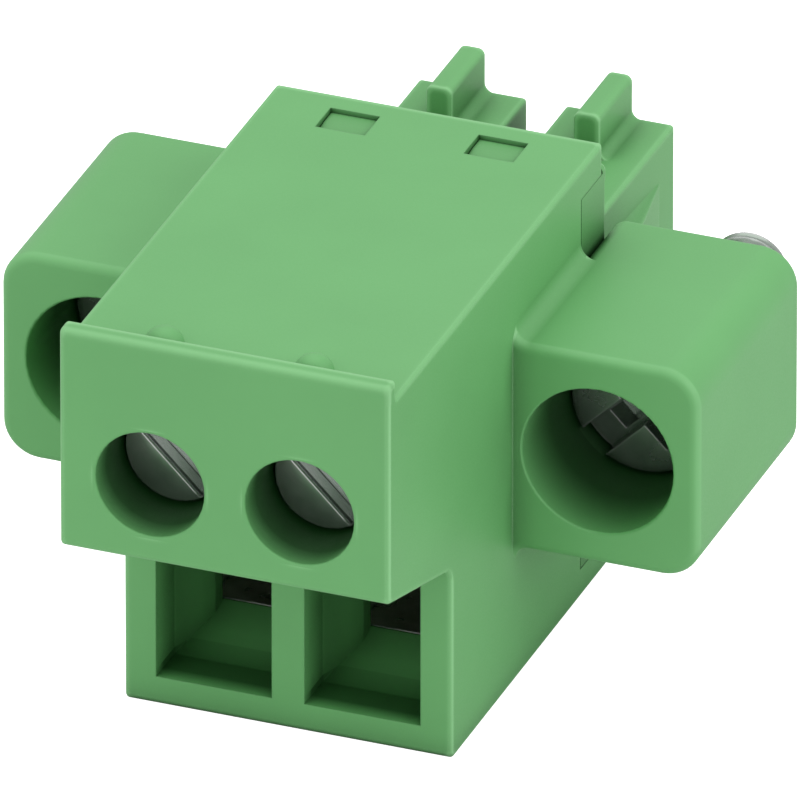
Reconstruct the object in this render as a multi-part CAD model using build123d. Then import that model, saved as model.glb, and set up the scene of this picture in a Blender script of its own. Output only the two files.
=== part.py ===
from build123d import *
import math
import os

# Two-position pluggable terminal block with screw flanges, in millimetres.
# X runs across the positions and Y from the wire side to the mating side.
# Z is up from the flat underside, and Y = 0 is the face with the screwdriver holes.

# Pitch and width
POSITIONS = 2
PITCH = 3.81
END_MARGIN = 0.39
PARTITION = 0.61

# Side profile of the housing
HEIGHT = 12.18
RIDGE_HEIGHT = 0.50
SCREW_DROP = 3.28
RIDGE_DEPTH = 0.45
NOSE_DROP = 2.05
SLOPE_DROP = 1.19
WIRE_FACE_Y = 4.16
FLOOR_WALL = 0.77
ROOF_WALL = 0.81
SIDE_WALL = 0.70
COVE_RADIUS = 0.50
EDGE_RADIUS = 0.10
CORNER_RADIUS = 0.16

# Bosses behind the ridge
BOSS_RADIUS = 0.50
BOSS_SETBACK = 0.54

# Screwdriver channel and terminal screw
CHANNEL_RADIUS = 1.385
HEAD_SETBACK = 1.70
HEAD_RADIUS = 1.30
HEAD_HEIGHT = 1.40
NECK_RADIUS = 0.75
THREAD_RADIUS = 1.00
SLOT_WIDTH = 0.58
SLOT_DEPTH = 0.55

# Wire entry
ENTRY_RIB = 0.84
ENTRY_TOP_Z = 4.60
ENTRY_STRAIGHT = 1.20
FUNNEL_LENGTH = 1.50
FUNNEL_PINCH = 0.47
THROAT_LENGTH = 0.50
THROAT_TOP_Z = 4.10

# Clamp: cage, wedge nut and jaw
SHEET = 0.25
CAGE_LENGTH = 4.20
CELL_RISE = 2.10
NUT_LENGTH = 3.20
NUT_TRAVEL = 2.50
WEDGE_ANGLE = 35.0
WIRE_GAP = 2.00
JAW_HEEL = 0.45
JAW_PLAY = 0.16
JAW_TEETH = 3
TOOTH_PITCH = 0.80
TOOTH_DEPTH = 0.12

# Contact
STRIP = 0.35
TINE_THICKNESS = 0.28
TINE_HEIGHT = 2.00
TINE_GAP = 0.72
TINE_FLARE = 0.30
PINCH_SETBACK = 1.80

# Contact carrier
CARRIER_DEPTH = 2.38
CHEEK_DEPTH = 1.71
FLOOR_OVERHANG = 0.13
LEDGE_DEPTH = 0.25
LEDGE_RISE = 0.18
LEDGE_ROUND = 0.17
CHAMBER_WIDTH = 2.80
CHAMBER_BOTTOM_Z = 3.80
CHAMBER_HEIGHT = 4.60
CHAMBER_END_Y = 21.50
CHAMBER_WALL = 0.50
CHAMBER_ROOF = 0.91
END_WALL = 0.90
PIN_ENTRY = 1.30
RIB_WIDTH = 0.66
RIB_HEIGHT = 1.17
RIB_LENGTH = 2.36
RIB_COVE = 0.25
RIB_ROUND = 0.18
GUIDE_SETBACK = 1.10
GUIDE_DROP = 1.10
GUIDE_FALL = 0.50
GUIDE_SWEEP = 0.83

# Latches between housing and carrier
LATCH_WIDTH = 1.27
LATCH_LENGTH = 1.02
LATCH_SETBACK = 0.90
LATCH_RECESS = 0.11

# Flanges and their screws
FLANGE_OFFSET = 4.465
FLANGE_REACH = 2.58
FLANGE_Z = 6.50
FLANGE_HEIGHT = 5.60
FLANGE_FRONT_Y = 8.17
FLANGE_DEPTH = 6.90
FLANGE_CORNER = 0.95
FLANGE_ROOT = 0.40
FLANGE_INNER_CORNER = 0.35
FLANGE_EDGE = 0.24
FLANGE_BORE = 1.93
FLANGE_SCREW_SETBACK = 3.03
FLANGE_HEAD_RADIUS = 1.85
FLANGE_HEAD_HEIGHT = 1.40
FLANGE_SCREW_REACH = 3.55
FLANGE_SLOT_WIDTH = 0.84
CROSS_WIDTH = 0.66
CROSS_SPAN = 2.46
SHANK_RADIUS = 0.78
THREAD_START = 0.12

# Fits
RUNNING = 0.04
PLAY = 0.02
SEAM = 0.03
SEAT = 0.01

# How far joined forms reach into each other
JOIN = 0.25

# Places worked out from the sizes above
BODY_WIDTH = POSITIONS * PITCH + 2 * END_MARGIN
HALF = BODY_WIDTH / 2
ROOF_Z = HEIGHT - RIDGE_HEIGHT
SCREW_Z = ROOF_Z - SCREW_DROP
NOSE_Z = SCREW_Z - NOSE_DROP
SLOPE_Z = NOSE_Z - SLOPE_DROP
HEAD_BACK_Y = HEAD_SETBACK + HEAD_HEIGHT
CELL_FRONT_Y = HEAD_BACK_Y + PLAY
CELL_WIDTH = PITCH - PARTITION
CELL_TOP_Z = SCREW_Z + CELL_RISE
ENTRY_WIDTH = PITCH - ENTRY_RIB
FUNNEL_Y = WIRE_FACE_Y + ENTRY_STRAIGHT
THROAT_Y = FUNNEL_Y + FUNNEL_LENGTH
CLAMP_Y = THROAT_Y + THROAT_LENGTH
CAGE_FRONT_Y = CLAMP_Y + RUNNING
CAGE_BACK_Y = CAGE_FRONT_Y + CAGE_LENGTH
CAGE_WIDTH = CELL_WIDTH - 2 * SEAM
CAGE_TOP_Z = CELL_TOP_Z - RUNNING
SLIDER_WIDTH = CAGE_WIDTH - 2 * SHEET - 2 * RUNNING
BAR_TOP_Z = FLOOR_WALL + SHEET + STRIP
WEDGE_SLOPE = math.tan(math.radians(WEDGE_ANGLE))
JAW_FRONT_Y = CAGE_FRONT_Y + JAW_PLAY
JAW_BACK_Y = CAGE_BACK_Y - JAW_PLAY
JAW_Z = BAR_TOP_Z + WIRE_GAP
NUT_BACK_Y = JAW_BACK_Y - RUNNING
NUT_FRONT_Y = NUT_BACK_Y - NUT_LENGTH
NUT_TOP_Z = CAGE_TOP_Z - SHEET - RUNNING
RISER_Y = CAGE_BACK_Y + 2 * RUNNING
RISER_BACK_Y = RISER_Y + STRIP
CARRIER_FRONT_Y = RISER_BACK_Y + 2 * SEAM
CARRIER_BACK_Y = CARRIER_FRONT_Y + CARRIER_DEPTH
CHEEK_Y = CARRIER_BACK_Y - CHEEK_DEPTH
ROOF_END_Y = CARRIER_BACK_Y - LEDGE_DEPTH - PLAY
FLOOR_END_Y = CARRIER_BACK_Y + FLOOR_OVERHANG
REAR_TOP_Z = ROOF_Z - ROOF_WALL
LATCH_BACK_Y = CARRIER_BACK_Y - LATCH_SETBACK
LATCH_FRONT_Y = LATCH_BACK_Y - LATCH_LENGTH
CHAMBER_TOP_Z = CHAMBER_BOTTOM_Z + CHAMBER_HEIGHT
CONTACT_Z = CHAMBER_BOTTOM_Z + CHAMBER_HEIGHT / 2
TINE_X = TINE_GAP / 2 + TINE_THICKNESS / 2
FLANGE_BACK_Y = FLANGE_FRONT_Y + FLANGE_DEPTH
FLANGE_HEAD_Y = FLANGE_FRONT_Y + FLANGE_SCREW_SETBACK
FLANGE_SEAT_Y = FLANGE_HEAD_Y + FLANGE_HEAD_HEIGHT + PLAY
FLANGE_X = (POSITIONS - 1) * PITCH / 2 + FLANGE_OFFSET
SIDES = (("left", -1), ("right", 1))
CENTRES = [(i - (POSITIONS - 1) / 2) * PITCH for i in range(POSITIONS)]


def block(x0, x1, y0, y1, z0, z1):
    """Box between two corners."""
    return Pos((x0 + x1) / 2, (y0 + y1) / 2, (z0 + z1) / 2) * Box(x1 - x0, y1 - y0, z1 - z0)


def bar_y(x, z, radius, y0, y1):
    """Round bar along Y."""
    return Pos(x, (y0 + y1) / 2, z) * Rot(90, 0, 0) * Cylinder(radius, y1 - y0)


def across(profile, x0, x1):
    """Carries a (Y, Z) profile from x0 to x1."""
    return extrude(Plane.YZ.offset(x0) * profile, x1 - x0, dir=(1, 0, 0))


def along(profile, y0, y1):
    """Carries an (X, Z) profile from y0 to y1."""
    return extrude(Plane.XZ.offset(-y1) * profile, y1 - y0, dir=(0, -1, 0))


def upward(profile, z0, z1):
    """Carries an (X, Y) profile from z0 to z1."""
    return extrude(Plane.XY.offset(z0) * profile, z1 - z0, dir=(0, 0, 1))


def outline(*points):
    """Face inside a row of corners."""
    return Polygon(*points, align=None)


def near(shapes, *spots):
    """Vertices that lie at the given (u, v) corners."""
    return [v for v in shapes for s in spots if math.hypot(v.X - s[0], v.Y - s[1]) < 1e-4]


def turned(points):
    """Solid turned about the Y axis from a (radius, Y) profile."""
    return revolve(Plane.XY * outline(*points), Axis.Y)


def wedge_z(y):
    """Height of the sloping plane between nut and jaw, at rest."""
    return JAW_Z + JAW_HEEL + (JAW_BACK_Y - y) * WEDGE_SLOPE


def housing_shell():
    """Outer form of the housing body: ridge, roof, nose slope and underside."""
    toe = (WIRE_FACE_Y, 0)
    cove = (WIRE_FACE_Y, SLOPE_Z)
    side = outline((0, NOSE_Z), (0, HEIGHT), (RIDGE_DEPTH, HEIGHT), (RIDGE_DEPTH, ROOF_Z),
                   (ROOF_END_Y, ROOF_Z), (ROOF_END_Y, REAR_TOP_Z), (CHEEK_Y, REAR_TOP_Z),
                   (CHEEK_Y, FLOOR_WALL), (FLOOR_END_Y, FLOOR_WALL), (FLOOR_END_Y, 0), toe, cove)
    side = fillet(near(side.vertices(), cove), COVE_RADIUS)
    side = fillet(near(side.vertices(), (0, HEIGHT), (0, NOSE_Z), toe), CORNER_RADIUS)
    body = across(side, -HALF, HALF)
    faces = body.faces().sort_by(Axis.X)
    rims = (faces[0].edges() + faces[-1].edges()).filter_by(lambda e: not at_seam(e))
    return fillet(rims, EDGE_RADIUS)


def at_seam(edge):
    """True for the housing edges that meet the carrier's cheeks."""
    spot = edge.center()
    return spot.Y > CHEEK_Y - 1e-3 and FLOOR_WALL - 1e-3 < spot.Z < REAR_TOP_Z + 1e-3


def bosses():
    """Two domed bosses on the roof, just behind the ridge."""
    return [Pos(x, RIDGE_DEPTH + BOSS_SETBACK, ROOF_Z) * Sphere(BOSS_RADIUS) for x in CENTRES]


def flange():
    """Right-hand flange: joined to the side wall in front, clear of the carrier's cheek behind."""
    top = FLANGE_Z + FLANGE_HEIGHT / 2
    low = FLANGE_Z - FLANGE_HEIGHT / 2
    out = FLANGE_X + FLANGE_REACH
    inner = HALF + SEAM
    anchor = HALF - SIDE_WALL / 2
    spread = 2 * FLANGE_ROOT
    front = outline((anchor, low - spread), (HALF, low - spread), (HALF, low), (out, low),
                    (out, top), (HALF, top), (HALF, top + spread), (anchor, top + spread))
    front = fillet(near(front.vertices(), (out, low), (out, top)), FLANGE_CORNER)
    front = fillet(near(front.vertices(), (HALF, low), (HALF, top)), FLANGE_ROOT)
    head = along(front, FLANGE_FRONT_Y, CHEEK_Y)
    rim = head.faces().sort_by(Axis.Y)[0].edges().filter_by(lambda e: e.center().X > HALF + 1e-3)
    head = fillet(rim, FLANGE_EDGE)
    back = outline((inner, low), (out, low), (out, top), (inner, top))
    back = fillet(near(back.vertices(), (out, low), (out, top)), FLANGE_CORNER)
    back = fillet(near(back.vertices(), (inner, low), (inner, top)), FLANGE_INNER_CORNER)
    tail = along(back, CHEEK_Y, FLANGE_BACK_Y)
    tail = fillet(tail.faces().sort_by(Axis.Y)[-1].edges(), FLANGE_EDGE)
    ear = head + tail
    ear -= bar_y(FLANGE_X, FLANGE_Z, FLANGE_BORE, FLANGE_FRONT_Y - 1, FLANGE_SEAT_Y)
    ear -= bar_y(FLANGE_X, FLANGE_Z, SHANK_RADIUS + RUNNING, FLANGE_SEAT_Y - 1, FLANGE_BACK_Y + 1)
    return ear


def wire_entry(x):
    """Space cut for one wire: straight mouth, then a funnel down to the clamp."""
    wide = ENTRY_WIDTH / 2
    slim = wide - FUNNEL_PINCH
    rise = BAR_TOP_Z - FLOOR_WALL
    bend = FLOOR_WALL + rise * FUNNEL_LENGTH / (FUNNEL_LENGTH + THROAT_LENGTH)
    bend_top = ENTRY_TOP_Z - (ENTRY_TOP_Z - THROAT_TOP_Z) / 2
    mouth = block(x - wide, x + wide, WIRE_FACE_Y - 1, FUNNEL_Y, FLOOR_WALL, ENTRY_TOP_Z)
    stations = ((FUNNEL_Y, wide, FLOOR_WALL, ENTRY_TOP_Z), (THROAT_Y, slim, bend, bend_top),
                (CLAMP_Y, slim, BAR_TOP_Z, THROAT_TOP_Z))
    frames = [Plane.XZ.offset(-y) * Pos(x, (low + top) / 2) * Rectangle(2 * w, top - low)
              for y, w, low, top in stations]
    return mouth + loft(frames, ruled=True)


def clamp_cell(x):
    """Room for one clamp, with a sloping shelf under the nut's forward travel."""
    shelf_y = NUT_FRONT_Y - NUT_TRAVEL - 2 * RUNNING
    shelf_z = wedge_z(NUT_FRONT_Y) - 4 * RUNNING
    room = outline((CELL_FRONT_Y, CELL_TOP_Z), (CELL_FRONT_Y, NOSE_Z + RUNNING),
                   (shelf_y, shelf_z), (CLAMP_Y, shelf_z - (CLAMP_Y - shelf_y) * WEDGE_SLOPE),
                   (CLAMP_Y, FLOOR_WALL), (CHEEK_Y, FLOOR_WALL), (CHEEK_Y, CELL_TOP_Z))
    return across(room, x - CELL_WIDTH / 2, x + CELL_WIDTH / 2)


def housing():
    """Front moulding: body, flanges, screw channels, wire entries and clamp cells."""
    body = housing_shell()
    ear = flange()
    for piece in (*bosses(), ear, mirror(ear, about=Plane.YZ)):
        body += piece
    for x in CENTRES:
        body -= bar_y(x, SCREW_Z, CHANNEL_RADIUS, -1, CELL_FRONT_Y + PLAY)
        body -= wire_entry(x)
        body -= clamp_cell(x)
        body -= block(x - LATCH_WIDTH / 2, x + LATCH_WIDTH / 2, LATCH_FRONT_Y, LATCH_BACK_Y, -1, ROOF_Z + 1)
    hollow = HALF - SIDE_WALL
    body -= block(-hollow, hollow, CARRIER_FRONT_Y - SEAM, CHEEK_Y + 1, FLOOR_WALL, REAR_TOP_Z)
    mouths = body.edges().filter_by(GeomType.CIRCLE).filter_by(is_mouth)
    return fillet(mouths, EDGE_RADIUS / 2)


def is_mouth(edge):
    """True for the round front edges of the screw channels and flange bores."""
    at_nose = abs(edge.center().Y) < 1e-4 and abs(edge.radius - CHANNEL_RADIUS) < 1e-4
    at_ear = abs(edge.center().Y - FLANGE_FRONT_Y) < 1e-4 and abs(edge.radius - FLANGE_BORE) < 1e-4
    return at_nose or at_ear


def latch_lug(x, top):
    """One latch lug on the carrier, with a lead-in at its front; top is 1 for the roof side."""
    front = LATCH_FRONT_Y + SEAM
    back = LATCH_BACK_Y - SEAM
    root = REAR_TOP_Z - 3 * SEAM if top > 0 else FLOOR_WALL + 3 * SEAM
    crown = ROOF_Z - LATCH_RECESS if top > 0 else LATCH_RECESS
    lead = crown - top * LATCH_RECESS / 2
    tooth = outline((front, root), (back, root), (back, crown), ((front + back) / 2, crown), (front, lead))
    reach = LATCH_WIDTH / 2 - SEAM
    return across(tooth, x - reach, x + reach)


def guide_section(wall, side, width, fall, rise):
    """Section of a side guide: an upright outer face with a hollow above its crest."""
    start = CHAMBER_TOP_Z - GUIDE_DROP
    low = CHAMBER_BOTTOM_Z + EDGE_RADIUS
    inside = wall - side * CHAMBER_WALL / 2
    top = (wall, start + rise)
    crest = (wall + side * width, start - fall)
    sag = 1 - math.sqrt(0.5)
    middle = (wall + side * width * sag, crest[1] + (top[1] - crest[1]) * sag)
    rim = Polyline(crest, (crest[0], low), (inside, low), (inside, top[1]), top)
    return make_face(ThreePointArc(top, middle, crest) + rim)


def side_guide(x, side):
    """Guide on the outer side of an end chamber, from nothing near its end to the full width."""
    wall = x + side * CHAMBER_WIDTH / 2
    thin = guide_section(wall, side, PLAY, 0, 2 * PLAY)
    full = guide_section(wall, side, HALF - PLAY - abs(wall), GUIDE_FALL, GUIDE_SWEEP)
    frames = [Plane.XZ.offset(GUIDE_SETBACK - CHAMBER_END_Y) * thin,
              Plane.XZ.offset(JOIN - CARRIER_BACK_Y) * full]
    return loft(frames, ruled=True)


def chamber(x):
    """One contact chamber with its polarising rib, before its inside is cut."""
    reach = CHAMBER_WIDTH / 2
    shell = block(x - reach, x + reach, CARRIER_BACK_Y - JOIN, CHAMBER_END_Y,
                  CHAMBER_BOTTOM_Z, CHAMBER_TOP_Z)
    runs = shell.edges().filter_by(Axis.Y) + shell.faces().sort_by(Axis.Y)[-1].edges()
    shell = fillet(runs, EDGE_RADIUS)
    thin = RIB_WIDTH / 2
    base = reach - 2 * EDGE_RADIUS
    rib = outline((x - base, CHAMBER_TOP_Z - JOIN), (x + base, CHAMBER_TOP_Z - JOIN),
                  (x + base, CHAMBER_TOP_Z), (x + thin, CHAMBER_TOP_Z),
                  (x + thin, CHAMBER_TOP_Z + RIB_HEIGHT), (x - thin, CHAMBER_TOP_Z + RIB_HEIGHT),
                  (x - thin, CHAMBER_TOP_Z), (x - base, CHAMBER_TOP_Z))
    crown = CHAMBER_TOP_Z + RIB_HEIGHT
    rib = fillet(near(rib.vertices(), (x - thin, CHAMBER_TOP_Z), (x + thin, CHAMBER_TOP_Z)), RIB_COVE)
    rib = fillet(near(rib.vertices(), (x - thin, crown), (x + thin, crown)), RIB_ROUND)
    fin = along(rib, CHAMBER_END_Y - RIB_LENGTH, CHAMBER_END_Y - EDGE_RADIUS / 2)
    ends = fin.faces().sort_by(Axis.Y)
    fin = fillet(ends[0].edges() + ends[-1].edges(), EDGE_RADIUS / 2)
    return shell + fin


def contact_room(x):
    """Space for one contact, with the tapered pin entry at the mating end."""
    wide = CHAMBER_WIDTH / 2 - CHAMBER_WALL
    tall = CHAMBER_HEIGHT / 2 - CHAMBER_ROOF
    room = block(x - wide, x + wide, CARRIER_FRONT_Y - 1, CHAMBER_END_Y - END_WALL,
                 CONTACT_Z - tall, CONTACT_Z + tall)
    sizes = ((CHAMBER_END_Y - END_WALL - PLAY, PIN_ENTRY), (CHAMBER_END_Y - END_WALL / 2, PIN_ENTRY),
             (CHAMBER_END_Y + PLAY, PIN_ENTRY + END_WALL / 2))
    frames = [Plane.XZ.offset(-y) * Pos(x, CONTACT_Z) * Rectangle(w, w) for y, w in sizes]
    return room + loft(frames, ruled=True)


def contact_carrier():
    """Rear moulding: stepped plate with flush cheeks, latch lugs and the contact chambers."""
    plug = HALF - SIDE_WALL - SEAM
    low = FLOOR_WALL + SEAM
    high = REAR_TOP_Z - SEAT
    plate = outline((-plug, CARRIER_FRONT_Y), (plug, CARRIER_FRONT_Y), (plug, CHEEK_Y + SEAM),
                    (HALF, CHEEK_Y + SEAM), (HALF, CARRIER_BACK_Y), (-HALF, CARRIER_BACK_Y),
                    (-HALF, CHEEK_Y + SEAM), (-plug, CHEEK_Y + SEAM))
    corners = near(plate.vertices(), (HALF, CARRIER_BACK_Y), (-HALF, CARRIER_BACK_Y))
    plate = fillet(corners, CORNER_RADIUS)
    body = upward(plate, low, high)
    ledge = block(-HALF, HALF, CARRIER_BACK_Y - LEDGE_DEPTH, CARRIER_BACK_Y, high - JOIN, high + LEDGE_RISE)
    ledge = fillet(ledge.faces().sort_by(Axis.Z)[-1].edges().filter_by(Axis.Y), LEDGE_ROUND)
    rear_top = ledge.faces().sort_by(Axis.Y)[-1].edges().filter_by(Axis.X).sort_by(Axis.Z)[-1]
    ledge = fillet(rear_top, EDGE_RADIUS)
    body += ledge
    for x in CENTRES:
        body += chamber(x)
        body += latch_lug(x, 1)
        body += latch_lug(x, -1)
    for x, side in ((CENTRES[0], -1), (CENTRES[-1], 1)):
        body += side_guide(x, side)
    for x in CENTRES:
        body -= contact_room(x)
    return body


def clamp_cage(x):
    """Folded steel cage: sleeve round the wire space, roof strip and the screw's bearing wall."""
    reach = CAGE_WIDTH / 2
    inside = reach - SHEET
    roof = CAGE_TOP_Z - SHEET
    sleeve = block(x - reach, x + reach, CAGE_FRONT_Y, CAGE_BACK_Y, FLOOR_WALL, CAGE_TOP_Z)
    sleeve = fillet(sleeve.edges().filter_by(Axis.Y), SHEET)
    sleeve -= block(x - inside, x + inside, CAGE_FRONT_Y - 1, CAGE_BACK_Y + 1, FLOOR_WALL + SHEET, roof)
    strip_y = CELL_FRONT_Y + PLAY
    foot = NOSE_Z + 4 * RUNNING
    hook = outline((strip_y, foot), (strip_y, CAGE_TOP_Z), (CAGE_FRONT_Y + SHEET, CAGE_TOP_Z),
                   (CAGE_FRONT_Y + SHEET, roof), (strip_y + SHEET, roof), (strip_y + SHEET, foot))
    hook = fillet(near(hook.vertices(), (strip_y, CAGE_TOP_Z)), SHEET)
    arm = across(hook, x - inside, x + inside)
    cage = sleeve + arm
    neck = NECK_RADIUS + RUNNING
    cage -= bar_y(x, SCREW_Z, neck, strip_y - 1, strip_y + 2 * SHEET)
    cage -= block(x - neck, x + neck, strip_y - 1, strip_y + 2 * SHEET, NOSE_Z - 1, SCREW_Z)
    return cage


def slotted(x, z, face_y, width, depth, reach, angle):
    """Cutter for a straight screwdriver slot across a head, turned about the screw's axis."""
    slot = Box(2 * reach, 2 * depth, width)
    return Pos(x, face_y, z) * Rot(0, angle, 0) * slot


def terminal_screw(x):
    """Captive clamping screw: slotted head, thin neck in the cage, and thread for the nut."""
    taper = THREAD_RADIUS / 4
    runout = taper / 2
    neck_end = CELL_FRONT_Y + PLAY + SHEET + PLAY
    tip = NUT_BACK_Y
    soft = EDGE_RADIUS
    shape = turned([(0, HEAD_SETBACK), (HEAD_RADIUS - soft, HEAD_SETBACK),
                    (HEAD_RADIUS, HEAD_SETBACK + soft), (HEAD_RADIUS, HEAD_BACK_Y),
                    (NECK_RADIUS, HEAD_BACK_Y), (NECK_RADIUS, neck_end),
                    (THREAD_RADIUS - runout, neck_end), (THREAD_RADIUS, neck_end + runout),
                    (THREAD_RADIUS, tip - taper), (THREAD_RADIUS - taper, tip), (0, tip)])
    shape = Pos(x, 0, SCREW_Z) * shape
    return shape - slotted(x, SCREW_Z, HEAD_SETBACK, SLOT_WIDTH, SLOT_DEPTH, HEAD_RADIUS + 1, 45)


def wedge_nut(x):
    """Nut that runs along the screw; its sloping underside drives the jaw."""
    lift = RUNNING / 2
    wedge = outline((NUT_FRONT_Y, wedge_z(NUT_FRONT_Y) + lift), (NUT_BACK_Y, wedge_z(NUT_BACK_Y) + lift),
                    (NUT_BACK_Y, NUT_TOP_Z), (NUT_FRONT_Y, NUT_TOP_Z))
    top = near(wedge.vertices(), (NUT_BACK_Y, NUT_TOP_Z), (NUT_FRONT_Y, NUT_TOP_Z))
    wedge = fillet(top, EDGE_RADIUS)
    nut = across(wedge, x - SLIDER_WIDTH / 2, x + SLIDER_WIDTH / 2)
    return nut - bar_y(x, SCREW_Z, THREAD_RADIUS + RUNNING / 2, NUT_FRONT_Y - 1, NUT_BACK_Y + 1)


def clamping_jaw(x):
    """Jaw pressed down on the wire: sloping back for the nut and a grooved underside."""
    lift = RUNNING / 2
    side = outline((JAW_FRONT_Y, JAW_Z), (JAW_BACK_Y, JAW_Z), (JAW_BACK_Y, wedge_z(JAW_BACK_Y) - lift),
                   (JAW_FRONT_Y, wedge_z(JAW_FRONT_Y) - lift))
    side = fillet(near(side.vertices(), (JAW_FRONT_Y, JAW_Z)), EDGE_RADIUS * 2)
    jaw = across(side, x - SLIDER_WIDTH / 2, x + SLIDER_WIDTH / 2)
    middle = (JAW_FRONT_Y + JAW_BACK_Y) / 2
    for i in range(JAW_TEETH):
        y = middle + (i - (JAW_TEETH - 1) / 2) * TOOTH_PITCH
        notch = outline((y - TOOTH_DEPTH, JAW_Z), (y + TOOTH_DEPTH, JAW_Z), (y, JAW_Z + TOOTH_DEPTH))
        jaw -= across(notch, x - CELL_WIDTH / 2, x + CELL_WIDTH / 2)
    return jaw


def tine(x, side):
    """One spring tine of the contact: runs back, closes on the pin and flares at its end."""
    root_x = CHAMBER_WIDTH / 2 - CHAMBER_WALL - TINE_THICKNESS / 2 - 2 * RUNNING
    end_y = CHAMBER_END_Y - END_WALL - 2 * RUNNING
    line = ((root_x, RISER_Y), (root_x, CARRIER_BACK_Y), (TINE_X, CHAMBER_END_Y - PINCH_SETBACK),
            (TINE_X + TINE_FLARE, end_y))
    half = TINE_THICKNESS / 2
    outer = [(x + side * (px + half), py) for px, py in line]
    inner = [(x + side * (px - half), py) for px, py in line]
    face = outline(*outer, *reversed(inner))
    return upward(face, CONTACT_Z - TINE_HEIGHT / 2, CONTACT_Z + TINE_HEIGHT / 2)


def contact(x):
    """Contact bent from one strip: bar under the wire, riser behind the cage and two tines."""
    reach = SLIDER_WIDTH / 2
    low = FLOOR_WALL + SHEET
    top = CONTACT_Z + TINE_HEIGHT / 2
    strip = outline((CAGE_FRONT_Y, low), (RISER_BACK_Y, low), (RISER_BACK_Y, top), (RISER_Y, top),
                    (RISER_Y, BAR_TOP_Z), (CAGE_FRONT_Y, BAR_TOP_Z))
    strip = fillet(near(strip.vertices(), (RISER_BACK_Y, low)), STRIP)
    spine = across(strip, x - reach, x + reach)
    neck = CHAMBER_WIDTH / 2 - CHAMBER_WALL - 2 * RUNNING
    shoulder = CONTACT_Z - TINE_HEIGHT
    for side in (-1, 1):
        edges = sorted((x + side * neck, x + side * (reach + 1)))
        spine -= block(*edges, RISER_Y - 1, RISER_BACK_Y + 1, shoulder, top + 1)
        spine += tine(x, side)
    return spine


def flange_screw(x):
    """Captive screw of one flange: head with slot and cross, thin shank, and thread behind the flange."""
    soft = EDGE_RADIUS
    head_end = FLANGE_HEAD_Y + FLANGE_HEAD_HEIGHT
    thread_y = FLANGE_BACK_Y + THREAD_START
    tip = FLANGE_BACK_Y + FLANGE_SCREW_REACH
    dome = THREAD_RADIUS / 4
    shape = turned([(0, FLANGE_HEAD_Y), (FLANGE_HEAD_RADIUS - soft, FLANGE_HEAD_Y),
                    (FLANGE_HEAD_RADIUS, FLANGE_HEAD_Y + soft), (FLANGE_HEAD_RADIUS, head_end),
                    (SHANK_RADIUS, head_end), (SHANK_RADIUS, thread_y), (THREAD_RADIUS, thread_y),
                    (THREAD_RADIUS, tip - dome), (THREAD_RADIUS - dome, tip), (0, tip)])
    rim = shape.edges().filter_by(GeomType.CIRCLE).sort_by(Axis.Y)[-1]
    shape = Pos(x, 0, FLANGE_Z) * fillet(rim, dome / 2)
    shape -= slotted(x, FLANGE_Z, FLANGE_HEAD_Y, FLANGE_SLOT_WIDTH, SLOT_DEPTH, FLANGE_HEAD_RADIUS + 1, -45)
    for angle in (45, -45):
        shape -= slotted(x, FLANGE_Z, FLANGE_HEAD_Y, CROSS_WIDTH, 2 * SLOT_DEPTH, CROSS_SPAN / 2, angle)
    return shape


def save(name, shape):
    """Writes one piece with its origin at the middle of the underside."""
    placed = Pos(0, -CHAMBER_END_Y / 2, 0) * shape
    export_step(placed, f"parts/{name}.step")


def main():
    os.makedirs("parts", exist_ok=True)
    save("housing", housing())
    save("contact_carrier", contact_carrier())
    for name, side in SIDES:
        x = side * PITCH / 2
        save(f"terminal_screw_{name}", terminal_screw(x))
        save(f"wedge_nut_{name}", wedge_nut(x))
        save(f"clamping_jaw_{name}", clamping_jaw(x))
        save(f"clamp_cage_{name}", clamp_cage(x))
        save(f"contact_{name}", contact(x))
        save(f"flange_screw_{name}", flange_screw(side * FLANGE_X))


main()
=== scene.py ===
import bmesh
import bpy
import math
from mathutils import Matrix, Vector


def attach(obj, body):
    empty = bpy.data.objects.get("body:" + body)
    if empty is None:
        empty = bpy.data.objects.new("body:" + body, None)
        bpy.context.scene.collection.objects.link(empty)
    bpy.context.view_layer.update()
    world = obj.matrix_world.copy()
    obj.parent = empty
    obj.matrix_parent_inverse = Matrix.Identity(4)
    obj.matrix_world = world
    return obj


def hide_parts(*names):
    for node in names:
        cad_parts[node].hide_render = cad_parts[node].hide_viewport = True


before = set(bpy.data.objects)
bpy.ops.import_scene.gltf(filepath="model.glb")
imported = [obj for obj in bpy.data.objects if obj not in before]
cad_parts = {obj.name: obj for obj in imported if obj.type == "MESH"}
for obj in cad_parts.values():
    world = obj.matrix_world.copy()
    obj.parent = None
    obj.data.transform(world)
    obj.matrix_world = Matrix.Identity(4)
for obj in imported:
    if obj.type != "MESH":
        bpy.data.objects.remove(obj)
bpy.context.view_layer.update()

MM = 0.001

# Lengths in millimetres. SHIFT_Y is how far the front face lies before the frame's origin, and the faces
# and lengths of the screws along y are measured from that front face.
PITCH = 3.81
SHIFT_Y = 10.75
SCREW_Z = 8.40
SCREW_FACE = 1.70
SLOT_SHADE_DEPTH = 0.70
FLANGE_Z = 6.50
FLANGE_X = 6.37
FLANGE_SCREW_FACE = 11.20
THREAD_LEAD = 0.40
THREAD_DEPTH = 0.20
# How far a slot's cutter stands out of the screw's head
CUTTER_RISE = 0.3

# Edges: how far the shading rounds them, and how far from an edge the painted edge highlight reaches
PLASTIC_EDGE = 0.06
RIDGE_EDGE = 0.20
METAL_EDGE = 0.04
EDGE_HIGHLIGHT_REACH = 0.20
METAL_HIGHLIGHT_REACH = 0.07

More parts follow.
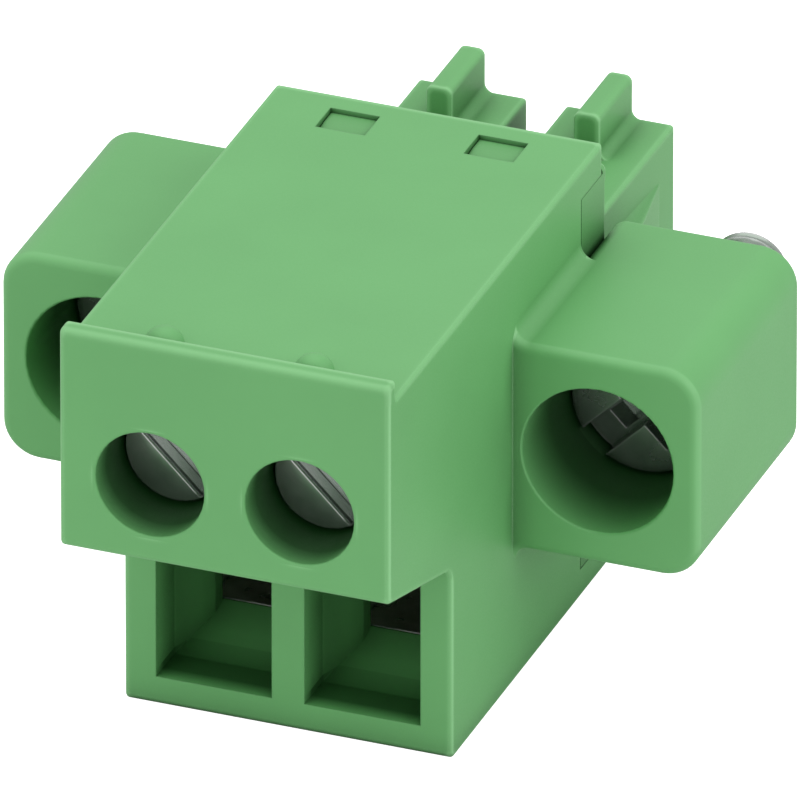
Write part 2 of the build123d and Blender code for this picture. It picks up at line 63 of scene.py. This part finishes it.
# Colours, linear
BODY_GREEN = (0.136, 0.412, 0.138)
FLOW_GREEN = (0.128, 0.390, 0.130)
SHADE_GREEN = (0.012, 0.060, 0.013, 1)
# Painted highlight colour along the plastic's outer edges
EDGE_HIGHLIGHT_GREEN = (0.330, 0.680, 0.330, 1)
WHITE = (1, 1, 1, 1)
# Painted sheen on a screw head's face, lighter towards its upper left
HEAD_PAINTED_SHEEN = (0.97, 0.98, 0.97, 1)
# Painted highlight on the walls of a screw slot
SLOT_HIGHLIGHT = (0.96, 0.98, 0.97, 1)
# Painted shade in a screw slot
SLOT_SHADE_DARK = (0.03, 0.04, 0.035, 1)
FLOOR_LOW = (0.56, 0.56, 0.56, 1)
FLOOR_HIGH = (0.58, 0.58, 0.58, 1)

# Boxes below are two opposite corners of distance from the middle plane, y and z, in millimetres.
# Where the painted edge highlights are weaker, as a box and the share of highlight that they keep: the
# wire mouths, the latch windows, the seam beside the flange, the screw channels, the bosses, the bores and
# the rims of the flanges
CALM_BOXES = (((0.0, -6.8, 0.60), (3.60, -3.0, 4.90), 0.0),
              ((1.10, 0.90, 10.60), (2.70, 3.00, 11.80), 0.0),
              ((4.05, 1.90, 0.60), (4.35, 3.55, 11.10), 0.0),
              ((0.45, -10.8, 6.95), (3.36, -10.3, 9.85), 0.0),
              ((1.30, -10.25, 11.60), (2.50, -9.15, 12.22), 0.0),
              ((4.35, -2.65, 4.45), (8.40, -2.10, 8.55), 0.0),
              ((4.25, -2.65, 3.50), (9.10, -2.25, 9.50), 0.45))
# Openings where painted shade darkens quickly from their rim inwards: box, where along y the shade is
# full, and how full
OPENINGS = (((0.50, -10.70, 6.99), (3.32, -8.90, 9.81), -10.05, 0.82),
            ((4.42, -2.50, 4.55), (8.32, 0.55, 8.45), -0.70, 0.77),
            ((0.20, -6.54, 0.95), (3.60, -2.80, 4.75), -5.20, 0.64),
            ((0.20, -6.52, 0.72), (3.60, -2.80, 0.95), -6.10, 0.86))
# The top and bottom lines of the seam between housing and carrier, which are shaded as if they were closed
CLOSED_SEAMS = (((3.90, 1.95, 10.70), (4.35, 3.62, 11.02)),
                ((3.90, 1.95, 0.66), (4.35, 3.62, 0.90)))
# The two low bosses on the roof, which get no corner shade
BOSSES = ((1.20, -10.30, 11.60), (2.60, -9.10, 12.22))
# The front edge of the ridge, which is rounded more than the other edges
RIDGE_FRONT = ((0.0, -10.80, 11.70), (4.30, -10.44, 12.22))
# The funnels of the wire entries, where the painted shade fades, and the lugs seen in the latch windows,
# which get a little painted shade
FUNNELS = ((0.0, -5.45, 0.70), (3.60, -3.42, 4.75))
LUGS = ((1.15, 0.80, 11.20), (2.65, 3.00, 11.66))
# Where along y the shade in the funnels fades again, towards the slope at their back
FUNNEL_FADE = (-5.45, -4.4)

# Steps of painted shade down a screw slot and of painted highlight on its walls, as place and value
SLOT_SHADES = ((0, 0.0), (0.08, 0.0), (0.10, 0.85), (0.20, 0.85), (0.26, 0.0), (0.71, 0.0), (0.75, 0.75),
               (0.78, 0.75), (0.785, 0.15), (1, 0.0))
SLOT_HIGHLIGHT_STEPS = ((0, 0.0), (0.20, 0.0), (0.28, 1.0), (0.70, 0.8), (0.76, 0.3), (1, 0.0))
# How strong the painted edge highlight is as the edge's normal turns towards the front
FRONT_TURN = ((0.05, 0.0), (0.22, 1.0), (0.70, 0.70), (0.93, 0.0))

# Softboxes: name, place and size in metres, power in watts
LAMPS = (("top_softbox", (-0.02, 0.02, 0.17), 0.20, 0.112),
         ("side_softbox", (0.130, -0.020, 0.085), 0.12, 0.068),
         ("front_softbox", (-0.060, -0.140, 0.060), 0.12, 0.040))
LAMP_TARGET = (0, 0, 0.006)
WORLD_STRENGTH = 0.74
FLOOR_REACH = 0.6

# Camera: angles in degrees, lens in millimetres, distances in metres
CAMERA_AZIMUTH = 21.07
CAMERA_ELEVATION = 28.55
CAMERA_DISTANCE = 0.900
CAMERA_LENS = 1688.3
CAMERA_TARGET_HEIGHT = 0.0061
CAMERA_SHIFT_RIGHT = 0.000307
CAMERA_SHIFT_DOWN = 0.000420


# Node helpers

def new_material(name):
    """Empty node material, its node maker and its linker."""
    mat = bpy.data.materials.new(name)
    mat.use_nodes = True
    tree = mat.node_tree
    tree.nodes.clear()

    def add(kind, **inputs):
        node = tree.nodes.new(kind)
        for key, value in inputs.items():
            socket = node.inputs[key.replace("_", " ")]
            socket.default_value = value
        return node

    return mat, add, tree.links.new


def ramp(add, link, source, low, high, first, second):
    """Colour ramp between two colours over part of the source's range."""
    node = add("ShaderNodeValToRGB")
    node.color_ramp.elements[0].position = low
    node.color_ramp.elements[0].color = first
    node.color_ramp.elements[1].position = high
    node.color_ramp.elements[1].color = second
    link(source, node.inputs["Fac"])
    return node.outputs["Color"]


def grey_steps(add, link, source, steps):
    """Grey ramp through the given places and values."""
    node = add("ShaderNodeValToRGB")
    stops = node.color_ramp.elements
    for place, value in steps[1:-1]:
        stops.new(place).color = (value, value, value, 1)
    for stop, (place, value) in ((stops[0], steps[0]), (stops[-1], steps[-1])):
        stop.position = place
        stop.color = (value, value, value, 1)
    link(source, node.inputs["Fac"])
    return node.outputs["Color"]


def grey_map(add, link, source, low, high, first, second):
    """Maps the source's range to a range of values."""
    node = add("ShaderNodeMapRange")
    node.inputs["From Min"].default_value = low
    node.inputs["From Max"].default_value = high
    node.inputs["To Min"].default_value = first
    node.inputs["To Max"].default_value = second
    link(source, node.inputs["Value"])
    return node.outputs["Result"]


def noise(add, link, vector, scale, detail):
    """Noise over the object's own coordinates."""
    node = add("ShaderNodeTexNoise", Scale=scale, Detail=detail)
    link(vector, node.inputs["Vector"])
    return node.outputs["Fac"]


def rounded_normal(add, radius):
    """Node whose normal runs softly round small edges."""
    bevel = add("ShaderNodeBevel", Radius=radius)
    bevel.samples = 4
    return bevel


def outer_edges(add, link, reach):
    """0 on flat faces and inner corners, up to 1 along outer edges."""
    inside = add("ShaderNodeAmbientOcclusion", Distance=reach)
    inside.samples = 8
    inside.inside = True
    inside.only_local = True
    return grey_map(add, link, inside.outputs["AO"], 0.96, 0.70, 0.0, 1.0)


def front_edges(add, link, normal):
    """0 on flat faces, up to 1 where a rounded edge turns from the front to the top or to a side."""
    split = add("ShaderNodeSeparateXYZ")
    link(normal, split.inputs["Vector"])
    forward = arithmetic(add, link, "MULTIPLY", split.outputs["Y"], -1.0)
    turn = grey_steps(add, link, forward, FRONT_TURN)
    not_below = grey_map(add, link, split.outputs["Z"], -0.25, -0.10, 0.0, 1.0)
    less_on_top = grey_map(add, link, split.outputs["Z"], 0.0, 1.0, 1.0, 0.5)
    return product(add, link, turn, not_below, less_on_top)


def hollows(add, link, reach):
    """1 on open faces, falling towards 0 deep inside holes and corners."""
    near = add("ShaderNodeAmbientOcclusion", Distance=reach)
    near.samples = 8
    return near.outputs["AO"]


def arithmetic(add, link, operation, first, second):
    """Sum, product or the like of two values; the second may be a number."""
    node = add("ShaderNodeMath")
    node.operation = operation
    link(first, node.inputs[0])
    if isinstance(second, float):
        node.inputs[1].default_value = second
    else:
        link(second, node.inputs[1])
    return node.outputs["Value"]


def product(add, link, first, *others):
    """All the values multiplied."""
    for other in others:
        first = arithmetic(add, link, "MULTIPLY", first, other)
    return first


def outside_box(add, link, where, low, high):
    """0 inside a box and its mirror image, given in millimetres; 1 elsewhere."""
    split = add("ShaderNodeSeparateXYZ")
    link(where, split.inputs["Vector"])
    off_middle = arithmetic(add, link, "ABSOLUTE", split.outputs["X"], 0.0)
    within = []
    for value, lo, hi in zip((off_middle, split.outputs["Y"], split.outputs["Z"]), low, high):
        near = add("ShaderNodeMath")
        near.operation = "COMPARE"
        link(value, near.inputs[0])
        near.inputs[1].default_value = (lo + hi) / 2 * MM
        near.inputs[2].default_value = (hi - lo) / 2 * MM
        within.append(near.outputs["Value"])
    return grey_map(add, link, product(add, link, *within), 0.0, 1.0, 1.0, 0.0)


def blend(add, link, amount, first, second):
    """Mixes two colours; each is a socket or a colour."""
    node = add("ShaderNodeMix")
    node.data_type = "RGBA"
    link(amount, node.inputs["Factor"])
    for key, value in (("A", first), ("B", second)):
        if isinstance(value, tuple):
            node.inputs[key].default_value = value
        else:
            link(value, node.inputs[key])
    return node.outputs["Result"]


def painted_edge_highlights(add, link, where, rounded, seam):
    """Painted highlight along the plastic's outer edges, where rounded corners would catch the light."""
    edge = arithmetic(add, link, "POWER", outer_edges(add, link, EDGE_HIGHLIGHT_REACH * MM), 2.0)
    edge = product(add, link, edge, 0.50)
    facing = product(add, link, front_edges(add, link, rounded), 0.65)
    edge = product(add, link, arithmetic(add, link, "MAXIMUM", edge, facing), seam)
    for low, high, kept in CALM_BOXES:
        share = grey_map(add, link, outside_box(add, link, where, low, high), 0, 1, kept, 1.0)
        edge = product(add, link, edge, share)
    return edge


def depth_shade(add, link, where, open_from):
    """How much painted shade darkens the plastic inside its openings, from 0 on open faces."""
    shade = grey_map(add, link, hollows(add, link, 3.5 * MM), open_from, 0.12, 0.0, 1.0)
    along = add("ShaderNodeSeparateXYZ")
    link(where, along.inputs["Vector"])
    for low, high, full, most in OPENINGS:
        inside = grey_map(add, link, outside_box(add, link, where, low, high), 0, 1, 1.0, 0.0)
        inward = grey_map(add, link, along.outputs["Y"], low[1] * MM, full * MM, 0.0, most)
        shade = arithmetic(add, link, "MAXIMUM", shade, product(add, link, inside, inward))
    fade = grey_map(add, link, along.outputs["Y"], FUNNEL_FADE[0] * MM, FUNNEL_FADE[1] * MM, 1.0, 0.38)
    relief = arithmetic(add, link, "MAXIMUM", outside_box(add, link, where, *FUNNELS), fade)
    # A little painted shade on the lugs seen in the latch windows
    lugs = grey_map(add, link, outside_box(add, link, where, *LUGS), 0, 1, 0.12, 0.0)
    return arithmetic(add, link, "MAXIMUM", product(add, link, shade, relief), lugs)


def grain_bumps(add, link, rounded, grain, sink):
    """Normal with fine moulded grain and faint sink marks."""
    for height, strength, distance in ((grain, 0.10, 0.004 * MM), (sink, 0.25, 0.03 * MM)):
        bump = add("ShaderNodeBump", Strength=strength, Distance=distance)
        link(height, bump.inputs["Height"])
        link(rounded, bump.inputs["Normal"])
        rounded = bump.outputs["Normal"]
    return rounded


def green_plastic(name, tint, open_from):
    """Moulded green plastic: fine grain, faint flow marks, painted highlights along its edges and painted
    shade in its corners and openings.
    """
    mat, add, link = new_material(name)
    where = add("ShaderNodeTexCoord").outputs["Object"]
    soft = rounded_normal(add, PLASTIC_EDGE * MM)
    radius = grey_map(add, link, outside_box(add, link, where, *RIDGE_FRONT), 0, 1, RIDGE_EDGE * MM,
                      PLASTIC_EDGE * MM)
    link(radius, soft.inputs["Radius"])
    rounded = soft.outputs["Normal"]
    seam = product(add, link, *[outside_box(add, link, where, *box) for box in CLOSED_SEAMS])
    # Painted shade in corners, darker where a place is more closed in
    corner = grey_map(add, link, hollows(add, link, 1.0 * MM), 0.85, 0.35, 0.0, 0.45)
    corner = product(add, link, corner, seam, outside_box(add, link, where, *BOSSES))
    # Painted shade inside the openings, which also lowers their specular
    depth = depth_shade(add, link, where, open_from)
    deep, base = ((*(share * tint for share in green), 1) for green in (FLOW_GREEN, BODY_GREEN))
    body = ramp(add, link, noise(add, link, where, 260, 3), 0.35, 0.70, deep, base)
    body = blend(add, link, corner, body, SHADE_GREEN)
    body = blend(add, link, depth, body, SHADE_GREEN)
    # Painted highlight along the outer edges
    body = blend(add, link, painted_edge_highlights(add, link, where, rounded, seam), body, EDGE_HIGHLIGHT_GREEN)
    grain = noise(add, link, where, 26000, 2)
    sink = noise(add, link, where, 420, 1)
    shader = add("ShaderNodeBsdfPrincipled", IOR=1.50)
    link(body, shader.inputs["Base Color"])
    link(grey_map(add, link, grain, 0.3, 0.7, 0.44, 0.54), shader.inputs["Roughness"])
    link(grey_map(add, link, depth, 0, 1, 0.50, 0.12), shader.inputs["Specular IOR Level"])
    link(grain_bumps(add, link, rounded, grain, sink), shader.inputs["Normal"])
    out = add("ShaderNodeOutputMaterial")
    link(shader.outputs["BSDF"], out.inputs["Surface"])
    return mat


def slot_painted_light_and_shade(add, link, where, face, colour):
    """Painted highlight on the walls of a screw slot, and painted shade just under its edge and along its
    foot.
    """
    split = add("ShaderNodeSeparateXYZ")
    link(where, split.inputs["Vector"])
    top = face - SHIFT_Y
    below = grey_map(add, link, split.outputs["Y"], top * MM, (top + SLOT_SHADE_DEPTH) * MM, 0.0, 1.0)
    colour = blend(add, link, grey_steps(add, link, below, SLOT_HIGHLIGHT_STEPS), colour, SLOT_HIGHLIGHT)
    return blend(add, link, grey_steps(add, link, below, SLOT_SHADES), colour, SLOT_SHADE_DARK)


def round_marks(add, link, split):
    """Place for tool marks that run round a screw's axis, from coordinates that start on the axis."""
    flat = add("ShaderNodeCombineXYZ")
    link(split.outputs["X"], flat.inputs["X"])
    link(split.outputs["Z"], flat.inputs["Y"])
    length = add("ShaderNodeVectorMath")
    length.operation = "LENGTH"
    link(flat.outputs["Vector"], length.inputs[0])
    place = add("ShaderNodeCombineXYZ")
    link(length.outputs["Value"], place.inputs["X"])
    link(split.outputs["Y"], place.inputs["Y"])
    return place.outputs["Vector"]


def plated_metal(name, bright, dull, rough, centre_x=0.0, centre_z=0.0, turned=True, edge_highlight=0.93,
                 face=None, metallic=1.0):
    """Plated metal: tool marks round the screw's axis or along the strip, patches and painted highlights
    on the edges; with a face given, also a painted sheen on the head and painted light and shade in its
    slot.
    """
    mat, add, link = new_material(name)
    where = add("ShaderNodeTexCoord").outputs["Object"]
    rounded = rounded_normal(add, METAL_EDGE * MM).outputs["Normal"]
    edge = outer_edges(add, link, METAL_HIGHLIGHT_REACH * MM)
    if turned:
        shift = add("ShaderNodeMapping")
        shift.inputs["Location"].default_value = (-centre_x * MM, 0, -centre_z * MM)
        link(where, shift.inputs["Vector"])
        split = add("ShaderNodeSeparateXYZ")
        link(shift.outputs["Vector"], split.inputs["Vector"])
        marks = noise(add, link, round_marks(add, link, split), 22000, 3)
    else:
        stretch = add("ShaderNodeMapping")
        stretch.inputs["Scale"].default_value = (1.0, 0.25, 1.0)
        link(where, stretch.inputs["Vector"])
        marks = noise(add, link, stretch.outputs["Vector"], 4000, 2)
    patches = noise(add, link, where, 1500, 3)
    colour = ramp(add, link, patches, 0.30, 0.72, [*dull, 1], [*bright, 1])
    if face is not None:
        # Painted sheen: the head's face turns lighter towards its upper left, as if lit from there
        aside = product(add, link, split.outputs["X"], 0.6)
        lean = arithmetic(add, link, "SUBTRACT", split.outputs["Z"], aside)
        painted_sheen = grey_map(add, link, lean, -0.2 * MM, 1.3 * MM, 0.0, 1.0)
        colour = blend(add, link, painted_sheen, colour, HEAD_PAINTED_SHEEN)
        colour = slot_painted_light_and_shade(add, link, where, face, colour)
    # Painted highlight along the metal's edges
    colour = blend(add, link, edge, colour, (edge_highlight, edge_highlight, edge_highlight, 1))
    bump = add("ShaderNodeBump", Strength=0.01, Distance=0.003 * MM)
    link(marks, bump.inputs["Height"])
    link(rounded, bump.inputs["Normal"])
    shader = add("ShaderNodeBsdfPrincipled", Metallic=metallic, IOR=2.2)
    link(colour, shader.inputs["Base Color"])
    link(grey_map(add, link, patches, 0.25, 0.75, rough - 0.02, rough + 0.03), shader.inputs["Roughness"])
    link(bump.outputs["Normal"], shader.inputs["Normal"])
    out = add("ShaderNodeOutputMaterial")
    link(shader.outputs["BSDF"], out.inputs["Surface"])
    return mat


def pale_floor():
    """Pale studio floor that glows a little, so that shadows on it stay faint."""
    mat, add, link = new_material("floor_paper")
    where = add("ShaderNodeTexCoord").outputs["Object"]
    tone = ramp(add, link, noise(add, link, where, 60, 2), 0.3, 0.7, FLOOR_LOW, FLOOR_HIGH)
    shader = add("ShaderNodeBsdfPrincipled", Roughness=0.9)
    link(tone, shader.inputs["Base Color"])
    glow = add("ShaderNodeEmission", Strength=1.0)
    both = add("ShaderNodeAddShader")
    link(shader.outputs["BSDF"], both.inputs[0])
    link(glow.outputs["Emission"], both.inputs[1])
    out = add("ShaderNodeOutputMaterial")
    link(both.outputs["Shader"], out.inputs["Surface"])
    return mat


# Screws with real threads

def lathe(bm, profile, segments):
    """Turns a profile of radius and y about the Y axis into a closed skin."""
    rings = []
    for radius, y in profile:
        if radius == 0:
            rings.append([bm.verts.new((0, y, 0))])
            continue
        ring = []
        for i in range(segments):
            a = 2 * math.pi * i / segments
            ring.append(bm.verts.new((radius * math.cos(a), y, radius * math.sin(a))))
        rings.append(ring)
    for first, second in zip(rings, rings[1:]):
        for i in range(segments):
            j = (i + 1) % segments
            corners = [first[i % len(first)], first[j % len(first)],
                       second[j % len(second)], second[i % len(second)]]
            bm.faces.new(list(dict.fromkeys(corners)))


def thread_skin(bm, start, end, crest, depth, lead, dome, segments=72, rows_a_turn=14):
    """Closed right-handed screw thread along Y, fading in at its start and out at its rounded tip."""
    rows = int((end - start) / lead * rows_a_turn)
    rings = []
    for k in range(rows + 1):
        y = start + (end - start) * k / rows
        fade = min(1, (y - start) / (0.5 * lead) + 0.15, (end - y) / lead)
        tip = max(0, 1 - max(0, y - (end - dome)) / dome)
        ring = []
        for i in range(segments):
            a = 2 * math.pi * i / segments
            phase = (y / lead - i / segments) % 1
            wave = 1 - min(1, abs(phase - 0.5) / 0.44) ** 1.2
            cut = depth * fade * wave
            radius = min(crest - cut, crest - dome + dome * math.sqrt(tip))
            ring.append(bm.verts.new((radius * math.cos(a), y, -radius * math.sin(a))))
        rings.append(ring)
    for first, second in zip(rings, rings[1:]):
        for i in range(segments):
            j = (i + 1) % segments
            bm.faces.new((first[i], second[i], second[j], first[j]))
    for ring, y, flip in ((rings[0], start, False), (rings[-1], end, True)):
        middle = bm.verts.new((0, y, 0))
        for i in range(segments):
            j = (i + 1) % segments
            bm.faces.new((ring[i], ring[j], middle) if not flip else (ring[j], ring[i], middle))


def finish_mesh(bm, name, place):
    """Object from a bmesh in millimetres, moved to its place and turned into metres."""
    bmesh.ops.recalc_face_normals(bm, faces=bm.faces)
    bm.transform(Matrix.Scale(MM, 4) @ Matrix.Translation(place))
    mesh = bpy.data.meshes.new(name)
    bm.to_mesh(mesh)
    bm.free()
    obj = bpy.data.objects.new(name, mesh)
    bpy.context.scene.collection.objects.link(obj)
    return obj


def cut_with(obj, cutters):
    """Cuts the cutters out of obj and removes them."""
    for cutter in cutters:
        mod = obj.modifiers.new("cut", "BOOLEAN")
        mod.operation = "DIFFERENCE"
        mod.solver = "EXACT"
        mod.object = cutter
    bpy.context.view_layer.update()
    baked = bpy.data.meshes.new_from_object(obj.evaluated_get(bpy.context.evaluated_depsgraph_get()))
    obj.modifiers.clear()
    obj.data = baked
    for cutter in cutters:
        bpy.data.objects.remove(cutter)


def slot_cutter(place, face_y, length, width, depth, angle, taper=0.0):
    """Tapered bar across a screw head, turned about the screw's axis."""
    bm = bmesh.new()
    corners = []
    for y, narrow in ((-CUTTER_RISE, -taper * CUTTER_RISE / depth), (depth, taper)):
        for sx, sz in ((-1, -1), (1, -1), (1, 1), (-1, 1)):
            corners.append(bm.verts.new((sx * (length / 2 - narrow), y, sz * (width / 2 - narrow / 2))))
    bm.faces.new(corners[0:4])
    bm.faces.new(corners[4:8])
    for i in range(4):
        j = (i + 1) % 4
        bm.faces.new((corners[i], corners[j], corners[4 + j], corners[4 + i]))
    bm.transform(Matrix.Translation((0, face_y, 0)) @ Matrix.Rotation(math.radians(angle), 4, "Y"))
    return finish_mesh(bm, "cutter", place)


def smooth(obj, degrees=32):
    """Shades obj smooth, with sharp edges above the angle."""
    for polygon in obj.data.polygons:
        polygon.use_smooth = True
    obj.data.set_sharp_from_angle(angle=math.radians(degrees))


def join_into(obj, other):
    """Adds the other object's mesh to obj."""
    bm = bmesh.new()
    bm.from_mesh(obj.data)
    bm.from_mesh(other.data)
    bm.to_mesh(obj.data)
    bm.free()
    bpy.data.objects.remove(other)


def terminal_screw(name, side, material):
    """Clamping screw: slotted head, thin neck, thread for the nut."""
    place = (side * PITCH / 2, -SHIFT_Y, SCREW_Z)
    face = SCREW_FACE
    bm = bmesh.new()
    lathe(bm, [(0, face), (1.23, face), (1.275, face + 0.025), (1.30, face + 0.08), (1.30, 3.02),
               (1.27, 3.08), (1.22, 3.10), (0.75, 3.10), (0.75, 3.42), (0, 3.42)], 96)
    head = finish_mesh(bm, f"terminal_screw_{name}_detail", place)
    cut_with(head, [slot_cutter(place, face, 3.4, 0.58, 0.55, 45, 0.02),
                    slot_cutter(place, face, 3.5, 0.66, 0.04, 45, 0.08)])
    bm = bmesh.new()
    thread_skin(bm, 3.40, 11.36, 0.995, THREAD_DEPTH, THREAD_LEAD, 0.24)
    join_into(head, finish_mesh(bm, "thread", place))
    dress_screw(head, f"terminal_screw_{name}", material)


def flange_screw(name, side, material):
    """Flange screw: head with slot and cross, long thread for the header's insert."""
    place = (side * FLANGE_X, -SHIFT_Y, FLANGE_Z)
    face = FLANGE_SCREW_FACE
    bm = bmesh.new()
    lathe(bm, [(0, face), (1.62, face), (1.74, face + 0.02), (1.82, face + 0.07), (1.85, face + 0.16),
               (1.85, 12.50), (1.82, 12.57), (1.76, 12.60), (0.78, 12.60), (0.78, 15.30), (0, 15.30)], 112)
    head = finish_mesh(bm, f"flange_screw_{name}_detail", place)
    cutters = [slot_cutter(place, face, 4.4, 0.84, 0.55, -45, 0.02)]
    for angle in (45, -45):
        cutters.append(slot_cutter(place, face, 2.46, 0.66, 1.10, angle, 0.16))
    cut_with(head, cutters)
    bm = bmesh.new()
    thread_skin(bm, 15.19, 18.62, 1.0, THREAD_DEPTH, THREAD_LEAD, 0.07)
    join_into(head, finish_mesh(bm, "thread", place))
    dress_screw(head, f"flange_screw_{name}", material)


def dress_screw(obj, node, material):
    """Puts a finished screw in its CAD node's place."""
    smooth(obj, 30)
    obj.data.materials.clear()
    obj.data.materials.append(material)
    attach(obj, node)
    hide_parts(node)


# Materials on the carried-over solids

def dress(node, material):
    """Gives a CAD node its material and smooth shading."""
    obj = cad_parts[node]
    obj.data.materials.clear()
    obj.data.materials.append(material)
    for polygon in obj.data.polygons:
        polygon.use_smooth = True
    obj.data.set_sharp_from_angle(angle=math.radians(24))


def dress_all():
    """Gives every piece its material and puts the detailed screws in."""
    # The last number says from how open a place the painted shade of openings begins; on the carrier it
    # begins at more open places
    dress("housing", green_plastic("plastic_housing", 1.0, 0.54))
    dress("contact_carrier", green_plastic("plastic_carrier", 0.985, 0.85))
    for name, side in (("left", -1), ("right", 1)):
        screw = plated_metal(f"metal_screw_{name}", (0.54, 0.62, 0.56), (0.38, 0.47, 0.40), 0.20,
                             side * PITCH / 2, SCREW_Z, face=SCREW_FACE, metallic=0.85)
        # The flange screws' dark green is painted shade in their deep bores and painted reflection of the
        # green plastic round them
        flange = plated_metal(f"metal_flange_screw_{name}", (0.35, 0.41, 0.36), (0.27, 0.33, 0.28), 0.26,
                              side * FLANGE_X, FLANGE_Z, edge_highlight=0.50, metallic=0.75)
        # The clamp's dark green is painted shade and painted reflection of the green plastic round it
        steel = plated_metal(f"metal_clamp_{name}", (0.30, 0.42, 0.30), (0.27, 0.38, 0.27), 0.60,
                             turned=False, edge_highlight=0.45, metallic=0.6)
        tin = plated_metal(f"metal_contact_{name}", (0.74, 0.72, 0.68), (0.60, 0.58, 0.53), 0.28,
                           turned=False, edge_highlight=0.60)
        terminal_screw(name, side, screw)
        flange_screw(name, side, flange)
        for node in ("wedge_nut", "clamping_jaw", "clamp_cage"):
            dress(f"{node}_{name}", steel)
        dress(f"contact_{name}", tin)


# Floor, light and camera

def stage():
    """Floor whose glow lights nothing but the floor."""
    reach = FLOOR_REACH
    corners = [(-reach, -reach, 0), (reach, -reach, 0), (reach, reach, 0), (-reach, reach, 0)]
    mesh = bpy.data.meshes.new("floor")
    mesh.from_pydata(corners, [], [(0, 1, 2, 3)])
    floor = bpy.data.objects.new("floor", mesh)
    bpy.context.scene.collection.objects.link(floor)
    mesh.materials.append(pale_floor())
    lit = bpy.data.collections.new("lit_by_floor_glow")
    lit.objects.link(floor)
    floor.light_linking.receiver_collection = lit


def aimed(obj, direction):
    """Links obj to the scene and turns it to look along the direction."""
    obj.rotation_mode = "QUATERNION"
    obj.rotation_quaternion = direction.to_track_quat("-Z", "Y")
    bpy.context.scene.collection.objects.link(obj)


def lamp(name, place, size, power):
    """Square softbox that faces the part."""
    data = bpy.data.lights.new(name, "AREA")
    data.shape = "SQUARE"
    data.size = size
    data.energy = power
    obj = bpy.data.objects.new(name, data)
    obj.location = place
    aimed(obj, Vector(LAMP_TARGET) - Vector(place))


def lights():
    """White surroundings and the softboxes."""
    world = bpy.data.worlds.new("studio")
    world.use_nodes = True
    background = world.node_tree.nodes["Background"]
    background.inputs["Color"].default_value = WHITE
    background.inputs["Strength"].default_value = WORLD_STRENGTH
    bpy.context.scene.world = world
    bpy.context.scene.view_settings.view_transform = "Standard"
    for row in LAMPS:
        lamp(*row)


def camera():
    """Long lens at the photograph's angle, aimed a little off the middle of the part."""
    azimuth = math.radians(CAMERA_AZIMUTH)
    elevation = math.radians(CAMERA_ELEVATION)
    back = Vector((math.sin(azimuth) * math.cos(elevation), -math.cos(azimuth) * math.cos(elevation),
                   math.sin(elevation)))
    right = Vector((math.cos(azimuth), math.sin(azimuth), 0))
    up = back.cross(right)
    aim = Vector((0, 0, CAMERA_TARGET_HEIGHT)) + right * CAMERA_SHIFT_RIGHT - up * CAMERA_SHIFT_DOWN
    data = bpy.data.cameras.new("camera")
    data.lens = CAMERA_LENS
    data.clip_start = 0.05
    data.clip_end = 5
    obj = bpy.data.objects.new("camera", data)
    obj.location = aim + back * CAMERA_DISTANCE
    aimed(obj, -back)
    bpy.context.scene.camera = obj


camera()
stage()
lights()
dress_all()
